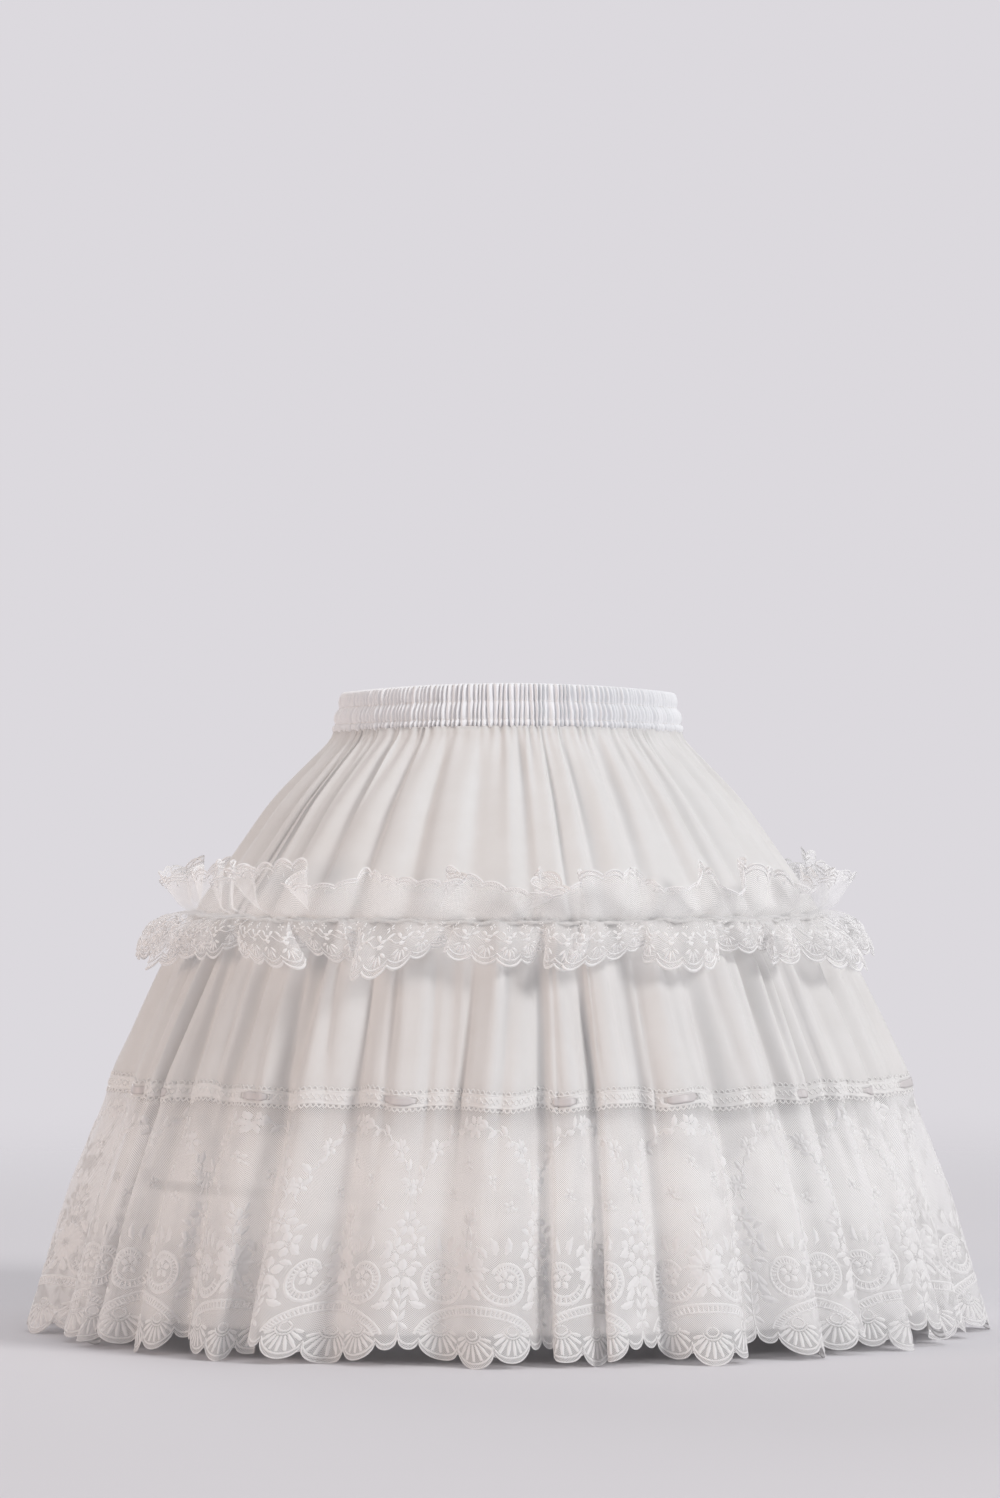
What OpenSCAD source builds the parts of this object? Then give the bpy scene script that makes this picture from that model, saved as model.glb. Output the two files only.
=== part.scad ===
// Hooped crinoline petticoat: three sprung hoops in casings on an A-line lining, under two gathered tiers,
// a double lace ruffle, a ribbon-threaded beading and a scalloped lace flounce, hung from a shirred waistband.
// Millimetres, +Z up, front towards -Y. The origin is on the floor, under the middle of the hoops.

/* [Waistband] */
// Height from the lowest scallop of the hem to the top of the waistband
skirt_height = 475; // [440:1:540]
// Width of the waist opening where the skirt joins the band, side to side
waist_width = 244; // [210:1:300]
// Depth of the waist opening where the skirt joins the band, front to back
waist_depth = 180; // [150:1:230]
// Width of each of the two elastics
elastic_width = 10; // [8:0.5:15]
// Thickness of each elastic
elastic_thickness = 1; // [0.6:0.1:2]
// Cloth wall of the casing round the elastics
band_wall = 0.8; // [0.5:0.1:1.2]
// Height of the shirring ribs on the outside of the band
shirr_depth = 1.6; // [0.8:0.1:2.4]
// Number of shirring ribs round the band
shirr_count = 120; // [80:4:144]
// Distance that each row of the band steps in from the row below
row_step = 1.5; // [0:0.1:2]
// Height of the gathered heading under the elastics
heading_height = 6; // [4:0.5:10]
// Height of each stitched line between the rows
stitch_height = 1; // [0.6:0.1:2]

/* [Cage] */
// Height of the upper hoop
upper_hoop_height = 300; // [270:1:320]
// Height of the middle hoop
middle_hoop_height = 207; // [175:1:240]
// Height of the lower hoop
lower_hoop_height = 114; // [90:1:140]
// Diameter of the upper hoop
upper_hoop_diameter = 452; // [400:2:500]
// Diameter of the lower hoop
lower_hoop_diameter = 576; // [540:2:640]
// Width of the hoop strip
hoop_width = 6; // [5:0.5:8]
// Thickness of the hoop strip
hoop_thickness = 1; // [0.6:0.1:1.4]
// Gap between the two ends of a hoop, inside its joining sleeve
hoop_end_gap = 3; // [1:0.5:6]
// Length of the sleeve that joins the ends of a hoop
sleeve_length = 40; // [25:1:60]
// Wall of the joining sleeve
sleeve_wall = 0.4; // [0.3:0.05:0.6]
// Height of the tape that forms a hoop casing
casing_height = 14; // [13:0.5:20]
// Cloth wall of a hoop casing
casing_wall = 0.5; // [0.4:0.05:0.8]

/* [Lining] */
// Thickness of the lining
lining_thickness = 0.8; // [0.5:0.1:1.2]
// Height of the lining's hem
lining_hem_height = 20; // [12:1:50]
// Diameter of the lining's hem
lining_hem_diameter = 634; // [600:2:690]

/* [Tiers] */
// Thickness of the outer cloth and lace
cloth_thickness = 1; // [0.6:0.1:1.2]
// Folds round the upper tier
upper_folds = 40; // [30:2:44]
// Folds round the lower tier and the lace flounce
lower_folds = 36; // [28:2:40]
// Depth of the gathers at the waistband, each side of the mean line
gather_depth = 1.5; // [0.5:0.1:2.5]
// Depth of the upper tier's folds at mid height, each side of the mean line
upper_fold_depth = 4; // [2:0.25:5]
// Outward swell of the upper tier at mid height
upper_swell = 5; // [4:0.5:14]
// Depth of the gathers along the ruffle seam, each side of the mean line
seam_gather_depth = 2.5; // [1:0.25:3.5]
// Depth of the folds where the lower tier meets the lace, each side of the mean line
lower_fold_depth = 8; // [4:0.5:10]
// Depth of the folds at the hem, each side of the mean line
hem_fold_depth = 15; // [8:0.5:18]
// Clear distance between the lining and the deepest fold of the lower skirt
skirt_ease = 10; // [4:0.5:16]

/* [Ruffle] */
// Height of the bound seam that carries the ruffle
seam_height = 4; // [3:0.5:8]
// Waves round each frill
frill_waves = 32; // [24:2:36]
// Depth of a frill's waves along its free edge, each side of the mean line
frill_depth = 7; // [4:0.5:9]
// Rise of the upper frill above the seam
upper_frill_rise = 30; // [20:1:40]
// Distance of the upper frill's edge from the tier behind it
upper_frill_stand_off = 24; // [14:1:30]
// Drop of the lower frill below the seam
lower_frill_drop = 32; // [20:1:40]
// Distance of the lower frill's edge from the tier behind it
lower_frill_stand_off = 4; // [2:0.5:12]

/* [Lace] */
// Height of the top of the beading
beading_top_height = 187; // [165:1:200]
// Height of the beading
beading_height = 10; // [8:0.5:14]
// Width of the ribbon threaded behind the beading
ribbon_width = 6; // [4:0.5:7]
// Thickness of the ribbon
ribbon_thickness = 0.5; // [0.3:0.1:0.8]
// Length of each opening in the beading
window_length = 26; // [14:1:30]
// Height of each opening in the beading
window_height = 4; // [2:0.25:5]
// Scallops round the hem
scallop_count = 24; // [20:2:28]
// Depth of the scallops
scallop_depth = 14; // [6:1:20]

/* [Hidden] */

cloth_white = [0.93, 0.92, 0.91];
band_white = [0.94, 0.94, 0.95];
lace_white = [0.96, 0.95, 0.95];
lining_white = [0.90, 0.88, 0.86];
tape_white = [0.88, 0.87, 0.86];
elastic_grey = [0.80, 0.80, 0.80];
strip_grey = [0.62, 0.62, 0.64];
ribbon_white = [0.90, 0.88, 0.88];

// Clear distance between layers that lie on each other
layer_gap = 0.3;
// Clear distance between a casing and the flats of the lining
casing_gap = 0.05;
// Clear distance round the strip inside its sleeve, and round the sleeve inside the casing
sleeve_gap = 0.15;
// Samples for each fold, wave, rib and scallop, and round the lining
fold_samples = 6;
upper_samples = 5;
wave_samples = 4;
rib_samples = 2;
oval_samples = 96;
lining_samples = 72;
// Exponent that gives a fold its broad crest and narrow valley
crest_power = 0.7;
// Radial reach of the cutter that opens the beading
window_reach = 30;

// Rows of the waistband, from its bottom up
channel_thickness = elastic_thickness + 2 * layer_gap;
row_height = elastic_width + 2 * layer_gap + 2 * band_wall;
heading_bottom = skirt_height - heading_height - 2 * stitch_height - 2 * row_height;
lower_row_bottom = heading_bottom + heading_height + stitch_height;
upper_row_bottom = lower_row_bottom + row_height + stitch_height;
row_thickness = 2 * band_wall + channel_thickness;
heading_thickness = lining_thickness + 2 * layer_gap + cloth_thickness + 2 * gather_depth;
waist = [waist_width / 2, waist_depth / 2];

// The cone that the three hoops lie on
upper_radius = upper_hoop_diameter / 2;
lower_radius = lower_hoop_diameter / 2;
cone_slope = (lower_radius - upper_radius) / (upper_hoop_height - lower_hoop_height);
cone_angle = atan(cone_slope);
channel_clearance = sleeve_gap + sleeve_wall + sleeve_gap;
casing_half = hoop_thickness / 2 + channel_clearance + casing_wall;
function hoop_radius(height) = upper_radius + (upper_hoop_height - height) * cone_slope;

// The lining's inner radius: a cone over the casings, then a straighter fall to the hem
lining_flat = cos(180 / lining_samples);
lining_stand_off = casing_half / cos(cone_angle) + casing_gap;
yoke_bottom = upper_hoop_height + casing_height / 2;
cone_bottom = lower_hoop_height - casing_height / 2;
function cone_radius(height) = (hoop_radius(height) + lining_stand_off) / lining_flat;
function lining_radius(height) = height >= cone_bottom ? cone_radius(height)
    : lerp(lining_hem_diameter / 2, cone_radius(cone_bottom),
           (height - lining_hem_height) / (cone_bottom - lining_hem_height));

// Mean radii of the outer skirt, each set off from the lining behind it
seam_bottom = yoke_bottom - seam_height;
seam_inner = lining_radius(seam_bottom) + lining_thickness + layer_gap;
seam_radius = seam_inner + layer_gap + cloth_thickness + seam_gather_depth;
frill_root = seam_radius + seam_gather_depth + layer_gap + cloth_thickness + gather_depth;
seam_outer = frill_root + gather_depth + layer_gap;
beading_bottom = beading_top_height - beading_height;
function skirt_radius(height, depth) = lining_radius(height) + lining_thickness + skirt_ease + cloth_thickness + depth;
beading_radius = skirt_radius(beading_bottom, lower_fold_depth);
cone_end_depth = lerp(lower_fold_depth, hem_fold_depth, (beading_bottom - cone_bottom) / beading_bottom);
cone_end_radius = skirt_radius(cone_bottom, cone_end_depth);
hem_radius = skirt_radius(lining_hem_height, hem_fold_depth);
// Share of the lower tier's height over which its gathers open into folds
gather_share = 0.25;
gather_end_height = lerp(seam_bottom, beading_top_height, gather_share);
gather_end_depth = lerp(seam_gather_depth, lower_fold_depth, 0.6);
gather_end_radius = lerp(seam_radius, beading_radius, gather_share) + gather_end_depth / 2;
// Share of the upper tier's height at which its folds are deepest
upper_peak_share = 0.4;

function lerp(a, b, t) = a + (b - a) * t;

// Direction of the turn at fold number u of n, with uneven spacing that repeats at the back
function fold_angle(u, n) = let(turn = 360 * u / n)
    turn + (360 / n) * (0.34 * sin(4 * turn + 40) + 0.22 * sin(6 * turn + 160) + 0.16 * sin(10 * turn + 80));

// Height of fold number u of n, from -1 in the valleys to about 1 on the crests
function fold_wave(u, n) = let(turn = 360 * u / n, crest = pow(abs(sin(180 * u)), crest_power))
    2 * crest * (0.86 + 0.10 * sin(4 * turn + 20) + 0.04 * sin(8 * turn + 200)) - 1;

function on_oval(angle, half, height) = [half[0] * sin(angle), -half[1] * cos(angle), height];

// One closed outline of a folded cloth: n folds of the given depth about an oval of half widths half
function fold_row(n, samples, half, depth, heights) = [for (k = [0 : n * samples - 1])
    let(u = k / samples, out = depth * fold_wave(u, n))
    on_oval(fold_angle(u, n), [half[0] + out, half[1] + out], is_list(heights) ? heights[k] : heights)];

function round_half(radius) = [radius, radius];
function inset(half, distance) = [half[0] - distance, half[1] - distance];
function outset(half, distance) = inset(half, -distance);
function flat(row) = [for (p = row) [p[0], p[1]]];

// Closed wall between two stacks of outlines, given from the top down
module cloth_wall(outer_rows, inner_rows) {
    n = len(outer_rows[0]);
    rows = len(outer_rows);
    inner = n * rows;
    outer_faces = [for (i = [0 : rows - 2], j = [0 : n - 1])
        each quad(i * n + j, i * n + (j + 1) % n, (i + 1) * n + (j + 1) % n, (i + 1) * n + j)];
    // Split along the same diagonal as the outer faces, so that the two sides stay parallel where the folds twist
    inner_faces = [for (i = [0 : rows - 2], j = [0 : n - 1])
        each quad(inner + i * n + j, inner + (i + 1) * n + j,
                  inner + (i + 1) * n + (j + 1) % n, inner + i * n + (j + 1) % n)];
    top_faces = [for (j = [0 : n - 1]) each quad(inner + j, inner + (j + 1) % n, (j + 1) % n, j)];
    last = (rows - 1) * n;
    bottom_faces = [for (j = [0 : n - 1])
        each quad(last + j, last + (j + 1) % n, inner + last + (j + 1) % n, inner + last + j)];
    polyhedron(points = [for (row = concat(outer_rows, inner_rows)) each row],
               faces = concat(outer_faces, inner_faces, top_faces, bottom_faces), convexity = 20);
}

function quad(a, b, c, d) = [[a, b, c], [a, c, d]];

// Folded cloth of even thickness: each station is [half widths, fold depth, height or heights]
module folded_cloth(n, samples, stations) {
    cloth_wall([for (s = stations) fold_row(n, samples, s[0], s[1], s[2])],
               [for (s = stations) fold_row(n, samples, inset(s[0], cloth_thickness), s[1], s[2])]);
}

// Flat outline of an oval, plain or with shirring ribs
function oval_outline(half) = flat([for (k = [0 : oval_samples - 1]) on_oval(360 * k / oval_samples, half, 0)]);
function ribbed_outline(half, depth) = let(n = shirr_count * rib_samples)
    flat([for (k = [0 : n - 1]) let(out = depth * (1 - cos(360 * k / rib_samples)) / 2)
        on_oval(360 * k / n, outset(half, out), 0)]);

module oval_ring(inner_half, thickness, depth = 0) {
    outer_half = outset(inner_half, thickness);
    difference() {
        polygon(depth > 0 ? ribbed_outline(outer_half, depth) : oval_outline(outer_half));
        polygon(oval_outline(inner_half));
    }
}

// One closed row of the waistband, hollow where its elastic lies
module shirred_row(inner_half) {
    difference() {
        linear_extrude(row_height) oval_ring(inner_half, row_thickness, shirr_depth);
        translate([0, 0, band_wall])
            linear_extrude(row_height - 2 * band_wall) oval_ring(outset(inner_half, band_wall), channel_thickness);
    }
}

module waistband() {
    neck_thickness = row_thickness - row_step;
    color(band_white) {
        translate([0, 0, heading_bottom])
            linear_extrude(heading_height) oval_ring(waist, heading_thickness, shirr_depth);
        translate([0, 0, heading_bottom + heading_height])
            linear_extrude(stitch_height) oval_ring(waist, neck_thickness);
        translate([0, 0, lower_row_bottom]) shirred_row(inset(waist, row_step));
        translate([0, 0, lower_row_bottom + row_height])
            linear_extrude(stitch_height) oval_ring(inset(waist, row_step), neck_thickness);
        translate([0, 0, upper_row_bottom]) shirred_row(inset(waist, 2 * row_step));
    }
}

module waist_elastic(row_bottom, row_inset) {
    color(elastic_grey) translate([0, 0, row_bottom + band_wall + layer_gap])
        linear_extrude(elastic_width)
            oval_ring(outset(inset(waist, row_inset), band_wall + layer_gap), elastic_thickness);
}

function lining_row(half, height) = [for (k = [0 : lining_samples - 1]) on_oval(360 * k / lining_samples, half, height)];

module lining() {
    inner = [[waist, heading_bottom],
             [round_half(lining_radius(yoke_bottom)), yoke_bottom],
             [round_half(lining_radius(cone_bottom)), cone_bottom],
             [round_half(lining_radius(lining_hem_height)), lining_hem_height]];
    color(lining_white)
        cloth_wall([for (s = inner) lining_row(outset(s[0], lining_thickness), s[1])],
                   [for (s = inner) lining_row(s[0], s[1])]);
}

// Turns a flat section, drawn with X out from the cone and Y up along it, round the skirt at a hoop's height
module on_cone(height, turn = 360) {
    rotate_extrude(angle = turn, $fn = 96) translate([hoop_radius(height), height]) rotate(cone_angle) children();
}

module hoop_casing(height) {
    channel = [hoop_thickness + 2 * channel_clearance, hoop_width + 2 * channel_clearance];
    color(tape_white) on_cone(height) difference() {
        union() {
            square([channel[0] + 2 * casing_wall, channel[1] + 2 * casing_wall], center = true);
            translate([casing_half - 2 * casing_wall, -casing_height / 2 + casing_wall])
                square([2 * casing_wall, casing_height - 2 * casing_wall]);
        }
        square(channel, center = true);
    }
}

// Angle at the skirt's axis that a length along a hoop covers
function hoop_turn(length, height) = length / hoop_radius(height) * 180 / PI;

module hoop(height) {
    gap = hoop_turn(hoop_end_gap, height);
    color(strip_grey) rotate([0, 0, 90 + gap / 2]) on_cone(height, 360 - gap)
        square([hoop_thickness, hoop_width], center = true);
}

module hoop_sleeve(height) {
    turn = hoop_turn(sleeve_length, height);
    hole = [hoop_thickness + 2 * sleeve_gap, hoop_width + 2 * sleeve_gap];
    color(strip_grey) rotate([0, 0, 90 - turn / 2]) on_cone(height, turn) difference() {
        square([hole[0] + 2 * sleeve_wall, hole[1] + 2 * sleeve_wall], center = true);
        square(hole, center = true);
    }
}

module upper_tier() {
    top_half = outset(waist, lining_thickness + layer_gap + cloth_thickness + gather_depth);
    bottom_half = round_half(seam_radius);
    peak = outset([for (i = [0, 1]) lerp(top_half[i], bottom_half[i], upper_peak_share)], upper_swell);
    color(cloth_white) folded_cloth(upper_folds, upper_samples,
        [[top_half, gather_depth, heading_bottom],
         [peak, upper_fold_depth, lerp(heading_bottom, yoke_bottom, upper_peak_share)],
         [bottom_half, seam_gather_depth, yoke_bottom]]);
}

module ruffle_seam() {
    color(tape_white) translate([0, 0, seam_bottom]) difference() {
        cylinder(h = seam_height, r = seam_outer, $fn = 96);
        translate([0, 0, -1]) cylinder(h = seam_height + 2, r = seam_inner, $fn = 96);
    }
}

// A frill of gathered lace from the seam to a free edge, with its root on the seam's flat face
module frill(root_height, edge_radius, edge_height) {
    middle_radius = lerp(frill_root, edge_radius, 0.6);
    color(lace_white) folded_cloth(frill_waves, wave_samples,
        let(rows = [[round_half(frill_root), gather_depth, root_height],
                    [round_half(middle_radius), frill_depth / 2, lerp(root_height, edge_height, 0.5)],
                    [round_half(edge_radius), frill_depth, edge_height]])
        edge_height > root_height ? [rows[2], rows[1], rows[0]] : rows);
}

module upper_frill() {
    edge_height = yoke_bottom + upper_frill_rise;
    share = (heading_bottom - edge_height) / (heading_bottom - yoke_bottom);
    tier_crest = lerp(waist[0], seam_radius, share) + upper_swell + upper_fold_depth;
    frill(yoke_bottom, tier_crest + upper_frill_stand_off + frill_depth, edge_height);
}

module lower_frill() {
    edge_height = seam_bottom - lower_frill_drop;
    tier_crest = max(gather_end_radius + gather_end_depth,
        lerp(seam_radius, beading_radius, lower_frill_drop / (seam_bottom - beading_top_height)) + lower_fold_depth);
    frill(seam_bottom, tier_crest + lower_frill_stand_off + cloth_thickness + frill_depth, edge_height);
}

module lower_tier() {
    color(cloth_white) folded_cloth(lower_folds, fold_samples,
        [[round_half(seam_radius), seam_gather_depth, seam_bottom],
         [round_half(gather_end_radius), gather_end_depth, gather_end_height],
         [round_half(beading_radius), lower_fold_depth, beading_top_height]]);
}

// Upright band that follows the folds, of the given wall, set in from the cloth's outer face
module folded_band(wall, set_in, height) {
    outer = inset(round_half(beading_radius), set_in);
    linear_extrude(height) difference() {
        polygon(flat(fold_row(lower_folds, fold_samples, outer, lower_fold_depth, 0)));
        polygon(flat(fold_row(lower_folds, fold_samples, inset(outer, wall), lower_fold_depth, 0)));
    }
}

module beading() {
    color(lace_white) translate([0, 0, beading_bottom]) difference() {
        folded_band(cloth_thickness, 0, beading_height);
        for (k = [0 : 2 : lower_folds - 1])
            rotate([0, 0, fold_angle(k + 0.5, lower_folds)])
                translate([-window_length / 2, -beading_radius - window_reach / 2, (beading_height - window_height) / 2])
                    cube([window_length, window_reach, window_height]);
    }
}

module ribbon() {
    color(ribbon_white) translate([0, 0, beading_bottom + (beading_height - ribbon_width) / 2])
        folded_band(ribbon_thickness, cloth_thickness + layer_gap, ribbon_width);
}

// Height of the hem at sample k: broad scallops that all reach the floor
function scallop_height(k, n) = let(share = k * scallop_count / n, within = share - floor(share))
    scallop_depth * (1 - sin(180 * within));

module lace_flounce() {
    n = lower_folds * fold_samples;
    raw = [for (k = [0 : n - 1]) scallop_height(k, n)];
    lowest = min(raw);
    hem = [for (h = raw) h - lowest];
    color(lace_white) folded_cloth(lower_folds, fold_samples,
        [[round_half(beading_radius), lower_fold_depth, beading_bottom],
         [round_half(cone_end_radius), cone_end_depth, cone_bottom],
         [round_half(hem_radius), hem_fold_depth, hem]]);
}

waistband();
waist_elastic(upper_row_bottom, 2 * row_step);  // upper_waist_elastic
waist_elastic(lower_row_bottom, row_step);  // lower_waist_elastic
lining();
hoop_casing(upper_hoop_height);  // upper_hoop_casing
hoop_casing(middle_hoop_height);  // middle_hoop_casing
hoop_casing(lower_hoop_height);  // lower_hoop_casing
hoop(upper_hoop_height);  // upper_hoop
hoop(middle_hoop_height);  // middle_hoop
hoop(lower_hoop_height);  // lower_hoop
hoop_sleeve(upper_hoop_height);  // upper_hoop_sleeve
hoop_sleeve(middle_hoop_height);  // middle_hoop_sleeve
hoop_sleeve(lower_hoop_height);  // lower_hoop_sleeve
upper_tier();
ruffle_seam();
upper_frill();
lower_frill();
lower_tier();
beading();
ribbon();
lace_flounce();
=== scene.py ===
"""Looks of the hooped petticoat: gathered cloth, frills, beading and embroidered lace over the CAD frame."""

import math

import bpy
import numpy as np
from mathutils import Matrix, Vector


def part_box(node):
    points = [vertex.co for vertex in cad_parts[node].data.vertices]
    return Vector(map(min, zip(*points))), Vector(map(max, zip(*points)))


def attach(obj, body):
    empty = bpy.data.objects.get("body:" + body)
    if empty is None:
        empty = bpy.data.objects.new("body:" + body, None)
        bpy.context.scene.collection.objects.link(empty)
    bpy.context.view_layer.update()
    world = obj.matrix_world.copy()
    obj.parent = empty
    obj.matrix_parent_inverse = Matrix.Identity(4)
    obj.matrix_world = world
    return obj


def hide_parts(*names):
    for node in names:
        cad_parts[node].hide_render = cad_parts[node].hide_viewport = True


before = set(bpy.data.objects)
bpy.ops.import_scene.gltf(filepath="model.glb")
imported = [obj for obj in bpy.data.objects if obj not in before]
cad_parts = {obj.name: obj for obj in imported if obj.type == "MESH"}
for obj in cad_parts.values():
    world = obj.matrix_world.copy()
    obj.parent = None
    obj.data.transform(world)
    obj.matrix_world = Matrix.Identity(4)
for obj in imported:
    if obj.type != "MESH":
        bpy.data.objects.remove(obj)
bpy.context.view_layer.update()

TAU = 2 * math.pi
MM = 0.001

# Counts and the cloth walls' thickness, as in part.scad
LOWER_FOLDS = 36
UPPER_FOLDS = 40
FRILL_WAVES = 32
SCALLOPS = 24
CLOTH = 1.0 * MM

# Mesh steps: columns for each fold, wave or rib, and rows down each cloth
FOLD_COLUMNS, UPPER_COLUMNS, WAVE_COLUMNS, RIB_COLUMNS = 22, 21, 36, 7
LINING_COLUMNS, FLOUNCE_COLUMNS = 15, 28
UPPER_ROWS, LOWER_ROWS, LINING_ROWS, FRILL_ROWS, FLOUNCE_ROWS = 30, 27, 36, 13, 44
# Steps for each fold or wave where a length along the cloth is measured
FINE_STEPS, BEAD_STEPS = 200, 120
# Points on a drawn leaf or petal, on a small one, and on a rim of the beading
LEAF_POINTS, SMALL_LEAF_POINTS, RIM_POINTS = 4, 3, 1300


# Places read from the frame


def heights(node):
    low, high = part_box(node)
    return low.z, high.z


def half_widths(node):
    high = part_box(node)[1]
    return np.array([high.x, high.y])


def points_of(node):
    return np.array([v.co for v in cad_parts[node].data.vertices])


def ring(node, low, high=None):
    """(mean radius, fold depth) of a folded node's outer face at a height or between two."""
    high = low if high is None else high
    p = points_of(node)
    p = p[(p[:, 2] > low - 0.1 * MM) & (p[:, 2] < high + 0.1 * MM)]
    r = np.hypot(p[:, 0], p[:, 1])
    valley, crest = r.min() + CLOTH, r.max()
    return (valley + crest) / 2, (crest - valley) / 2


def levels(node):
    """The heights at which a node has points, from the top down."""
    return np.unique(np.round(points_of(node)[:, 2], 4))[::-1]


def reach_at(node, z, axis):
    """How far a node's points at one height reach along an axis."""
    p = points_of(node)
    return np.abs(p[np.abs(p[:, 2] - z) < 0.1 * MM][:, axis]).max()


BAND_LOW, BAND_HIGH = heights("waistband")
SEAM_LOW, SEAM_HIGH = heights("ruffle_seam")
BEAD_LOW, BEAD_HIGH = heights("beading")
RIBBON_LOW, RIBBON_HIGH = heights("ribbon")
LINING_HEM = heights("lining")[0]
SCALLOP_TOP = levels("lace_flounce")[2]
FLOUNCE_MIDDLE = levels("lace_flounce")[1]
TIER_MIDDLE = levels("lower_tier")[1]
UPPER_MIDDLE = levels("upper_tier")[1]
HOOPS = ["upper_hoop", "middle_hoop", "lower_hoop"]


# Curves and noise


def blurred(x, at, values, spread):
    """Straight interpolation with its corners rounded over the given spread."""
    order = np.argsort(at)
    at, values = np.asarray(at, float)[order], np.asarray(values, float)[order]
    return np.mean([np.interp(x + d, at, values) for d in np.linspace(-spread, spread, 7)], axis=0)


def at_height(z, heights_down, values):
    """Straight interpolation between values that are given from the top down."""
    return np.interp(z, heights_down[::-1], values[::-1])


def run_length(line):
    """Length along a line of points up to each of them."""
    return np.concatenate([[0], np.cumsum(np.linalg.norm(np.diff(line, axis=0), axis=1))])


def ripple(turn, z, orders, wavelength, seed):
    """Smooth noise round the skirt, about -1 to 1: whole numbers of waves per turn that drift with height."""
    rng = np.random.default_rng(seed)
    total = 0
    for order in orders:
        drift = rng.uniform(-1, 1) * TAU / wavelength
        total = total + rng.uniform(0.6, 1.2) * np.cos(order * turn + drift * z + rng.uniform(0, TAU))
    return total / len(orders) ** 0.5 / 0.9


def smooth(x, low, high):
    t = np.clip((x - low) / (high - low), 0, 1)
    return t * t * (3 - 2 * t)


def fold_turn(u, n):
    """Direction at fold number u of n, spaced as in part.scad."""
    turn = TAU * u / n
    wave = 0.34 * np.sin(4 * turn + math.radians(40)) + 0.22 * np.sin(6 * turn + math.radians(160))
    return turn + TAU / n * (wave + 0.16 * np.sin(10 * turn + math.radians(80)))


def per_fold(u, n, low, high, seed):
    """One chance value for each fold, the same from valley to valley."""
    values = np.random.default_rng(seed).uniform(low, high, n)
    return values[np.floor(u).astype(int) % n]


def between_folds(u, n, low, high, seed):
    """One chance value for each fold's crest, running smoothly from one crest to the next."""
    values = np.random.default_rng(seed).uniform(low, high, n)
    k = np.floor(u - 0.5).astype(int)
    t = smooth(u - 0.5 - k, 0, 1)
    return values[k % n] * (1 - t) + values[(k + 1) % n] * t


def swell(u, power):
    """0 in the sharp valley between folds, 1 on the broad crest."""
    return (np.sin(np.pi * u) ** 2 + 1e-4) ** (power / 2)


def sideways(u, pinch, lean):
    """How far cloth on a fold moves along the row, in folds: crests lean, and flanks close on the valleys."""
    rise = np.sin(np.pi * u) ** 2
    return lean * rise - pinch * np.sin(TAU * u) * np.sqrt(rise)


def round_points(turn, rx, ry, z):
    turn, rx, ry, z = np.broadcast_arrays(turn, rx, ry, z)
    return np.stack([rx * np.sin(turn), -ry * np.cos(turn), z], axis=-1)


# Surfaces of the cloth: each takes a fold number and a height, and gives points

folded = [("lower_tier", z) for z in (SEAM_LOW, TIER_MIDDLE, BEAD_HIGH)]
folded += [("lace_flounce", z) for z in (BEAD_LOW, FLOUNCE_MIDDLE)]
skirt_levels = [(z, *ring(node, z)) for node, z in folded] + [(0.0, *ring("lace_flounce", 0.0, SCALLOP_TOP))]
SKIRT_Z, SKIRT_R, SKIRT_DEPTH = map(np.array, zip(*skirt_levels))


def skirt(u, z):
    """Lower tier, beading and flounce: one run of folds from the ruffle seam to the hem."""
    turn = TAU * u / LOWER_FOLDS
    below = SEAM_LOW - z
    drop = np.clip(below / SEAM_LOW, 0, 1)
    v = u + 0.18 * drop * ripple(turn, z, (5, 7, 9, 13), 0.5, 11)
    radius = blurred(z, SKIRT_Z, SKIRT_R, 10 * MM)
    depth = blurred(z, SKIRT_Z, SKIRT_DEPTH, 10 * MM)
    crest = per_fold(v, LOWER_FOLDS, 0.62, 1.1, 3)
    power = np.clip(1.5 + 0.4 * ripple(turn, z, (5, 11, 17), 0.3, 26), 1.25, 2.2)
    wave = 2 * swell(v, power) * crest - 1
    pinch = between_folds(v, LOWER_FOLDS, 0.0, 0.08, 4) * smooth(drop, 0.0, 0.5)
    lean = np.clip(0.24 * ripple(turn, 0, (3, 5, 8, 11), 1, 5), -0.27, 0.27)
    lean = lean * (0.4 + 0.6 * smooth(drop, 0.4, 0.9))
    theta = fold_turn(v, LOWER_FOLDS) + TAU / LOWER_FOLDS * sideways(v, pinch, lean)
    gather = 0.7 * MM * np.exp(-below / 0.018) * ripple(turn, z, (143, 167, 191), 0.5, 21)
    gather = gather + 1.9 * MM * np.exp(-below / 0.1) * ripple(turn, z, (67, 83, 97), 0.6, 22)
    at_trim = np.exp(-(((z - (BEAD_LOW + BEAD_HIGH) / 2) / 0.014) ** 2))
    pucker = 0.45 * MM * at_trim * ripple(turn, z, (150, 187, 221), 1, 23)
    crease = 0.8 * MM * smooth(drop, 0.02, 0.3) * ripple(turn, z, (17, 23, 29, 41, 53), 0.16, 24)
    tubes = np.minimum(np.abs(ripple(turn, z, (35, 41, 47), 0.9, 25)), 1.0) ** 0.7 - 0.6
    narrow = (6.0 - 4.6 * smooth(drop, 0.35, 0.65)) * MM * smooth(below, 0.0, 0.04) * tubes
    r = radius + depth * wave + gather + pucker + crease + narrow
    return round_points(theta, r, r, z)


UPPER_Z = np.array([BAND_LOW, UPPER_MIDDLE, SEAM_HIGH])
UPPER_DEPTH = np.array([1.5, 4.0, 2.5]) * MM
UPPER_HALF = [[reach_at("upper_tier", z, axis) - d for z, d in zip(UPPER_Z, UPPER_DEPTH)] for axis in (0, 1)]


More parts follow.
